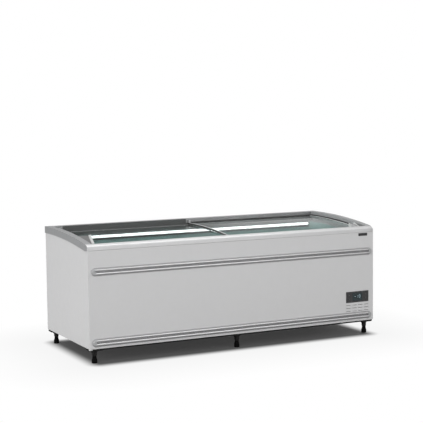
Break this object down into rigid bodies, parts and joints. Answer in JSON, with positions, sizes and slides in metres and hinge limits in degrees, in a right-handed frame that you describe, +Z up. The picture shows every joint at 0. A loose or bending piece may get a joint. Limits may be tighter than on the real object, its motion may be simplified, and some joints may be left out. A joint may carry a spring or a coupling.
{
  "type": "chest freezer",
  "caption": "Long supermarket chest freezer with an insulated tub, two curved glass lids that slide sideways over each other, ribbed front bumpers and levelling feet.",
  "frame": {"origin": "on the floor, under the middle of the cabinet", "axes": "+X to the user's right along the length, +Y from the front to the back, +Z up"},
  "size_m": [2.5, 0.978, 0.944],
  "materials": {
    "body_paint": "satin",
    "black_paint": "satin",
    "foam": "matte",
    "liner": "satin",
    "copper": "satin",
    "frame_profile": "satin",
    "track_plastic": "satin",
    "frame_plastic": "satin",
    "bumper": "satin",
    "black_plastic": "satin",
    "display": "gloss",
    "rubber": "matte",
    "fin_metal": "satin",
    "diffuser": "satin",
    "lid_glass": "gloss",
    "key_plastic": "satin",
    "foot_plastic": "satin"
  },
  "bodies": {
    "cabinet": {"front_panel": "body_paint", "left_panel": "body_paint", "right_panel": "body_paint", "back_panel": "body_paint", "bottom_pan": "body_paint", "base_rails": "black_paint", "base_cross_members": "black_paint", "foot_brackets": "black_paint", "foam_front": "foam", "foam_back": "foam", "foam_left": "foam", "foam_right": "foam", "foam_floor": "foam", "liner_front": "liner", "liner_back": "liner", "liner_left": "liner", "liner_right": "liner", "liner_floor": "liner", "evaporator_tubes": "copper", "side_frame_left": "frame_profile", "side_frame_right": "frame_profile", "front_frame": "frame_profile", "rear_frame": "frame_profile", "front_track": "track_plastic", "rear_track": "track_plastic", "corner_block_left": "frame_plastic", "upper_bumper": "bumper", "lower_bumper": "bumper", "bumper_end_caps": "frame_plastic", "badge": "black_plastic", "control_plate": "black_plastic", "display_window": "display", "back_grille": "black_plastic", "rear_spacers": "rubber", "power_inlet": "black_plastic", "compressor": "black_paint", "condenser": "fin_metal", "fan_motor": "black_paint", "fan_shroud": "fin_metal", "refrigerant_pipes": "copper", "led_housing": "frame_profile", "led_diffuser": "diffuser", "drain_tube": "black_plastic"},
    "left_lid": {"left_glass": "lid_glass", "left_lid_frame": "frame_plastic", "left_pull": "frame_plastic"},
    "right_lid": {"right_glass": "lid_glass", "right_lid_frame": "frame_plastic", "right_handle": "frame_plastic"},
    "fan": {"fan_blade": "fin_metal"},
    "key_1_body": {"key_1": "key_plastic"},
    "key_2_body": {"key_2": "key_plastic"},
    "key_3_body": {"key_3": "key_plastic"},
    "key_4_body": {"key_4": "key_plastic"},
    "foot_1_body": {"foot_1": "foot_plastic"},
    "foot_2_body": {"foot_2": "foot_plastic"},
    "foot_3_body": {"foot_3": "foot_plastic"},
    "foot_4_body": {"foot_4": "foot_plastic"},
    "foot_5_body": {"foot_5": "foot_plastic"},
    "foot_6_body": {"foot_6": "foot_plastic"}
  },
  "joints": [
    {"name": "left_lid_slide", "type": "slide", "parent": "cabinet", "child": "left_lid", "axis": [1, 0, 0], "range_m": [0, 1.04]},
    {"name": "right_lid_slide", "type": "slide", "parent": "cabinet", "child": "right_lid", "axis": [1, 0, 0], "range_m": [-1.04, 0]},
    {"name": "fan_spin", "type": "hinge", "parent": "cabinet", "child": "fan", "pos_m": [1.06, -0.355, 0.206], "axis": [0, 1, 0], "continuous": true},
    {"name": "key_1_press", "type": "slide", "parent": "cabinet", "child": "key_1_body", "axis": [0, 1, 0], "range_m": [0, 0.001], "stiffness_N_per_m": 400, "springref_m": -0.001},
    {"name": "key_2_press", "type": "slide", "parent": "cabinet", "child": "key_2_body", "axis": [0, 1, 0], "range_m": [0, 0.001], "stiffness_N_per_m": 400, "springref_m": -0.001},
    {"name": "key_3_press", "type": "slide", "parent": "cabinet", "child": "key_3_body", "axis": [0, 1, 0], "range_m": [0, 0.001], "stiffness_N_per_m": 400, "springref_m": -0.001},
    {"name": "key_4_press", "type": "slide", "parent": "cabinet", "child": "key_4_body", "axis": [0, 1, 0], "range_m": [0, 0.001], "stiffness_N_per_m": 400, "springref_m": -0.001},
    {"name": "foot_1_turn", "type": "hinge", "parent": "cabinet", "child": "foot_1_body", "pos_m": [-1.19, -0.419, 0.05], "axis": [0, 0, 1], "continuous": true},
    {"name": "foot_2_turn", "type": "hinge", "parent": "cabinet", "child": "foot_2_body", "pos_m": [0, -0.419, 0.05], "axis": [0, 0, 1], "continuous": true},
    {"name": "foot_3_turn", "type": "hinge", "parent": "cabinet", "child": "foot_3_body", "pos_m": [1.19, -0.419, 0.05], "axis": [0, 0, 1], "continuous": true},
    {"name": "foot_4_turn", "type": "hinge", "parent": "cabinet", "child": "foot_4_body", "pos_m": [-1.19, 0.428, 0.05], "axis": [0, 0, 1], "continuous": true},
    {"name": "foot_5_turn", "type": "hinge", "parent": "cabinet", "child": "foot_5_body", "pos_m": [0, 0.428, 0.05], "axis": [0, 0, 1], "continuous": true},
    {"name": "foot_6_turn", "type": "hinge", "parent": "cabinet", "child": "foot_6_body", "pos_m": [1.19, 0.428, 0.05], "axis": [0, 0, 1], "continuous": true}
  ]
}
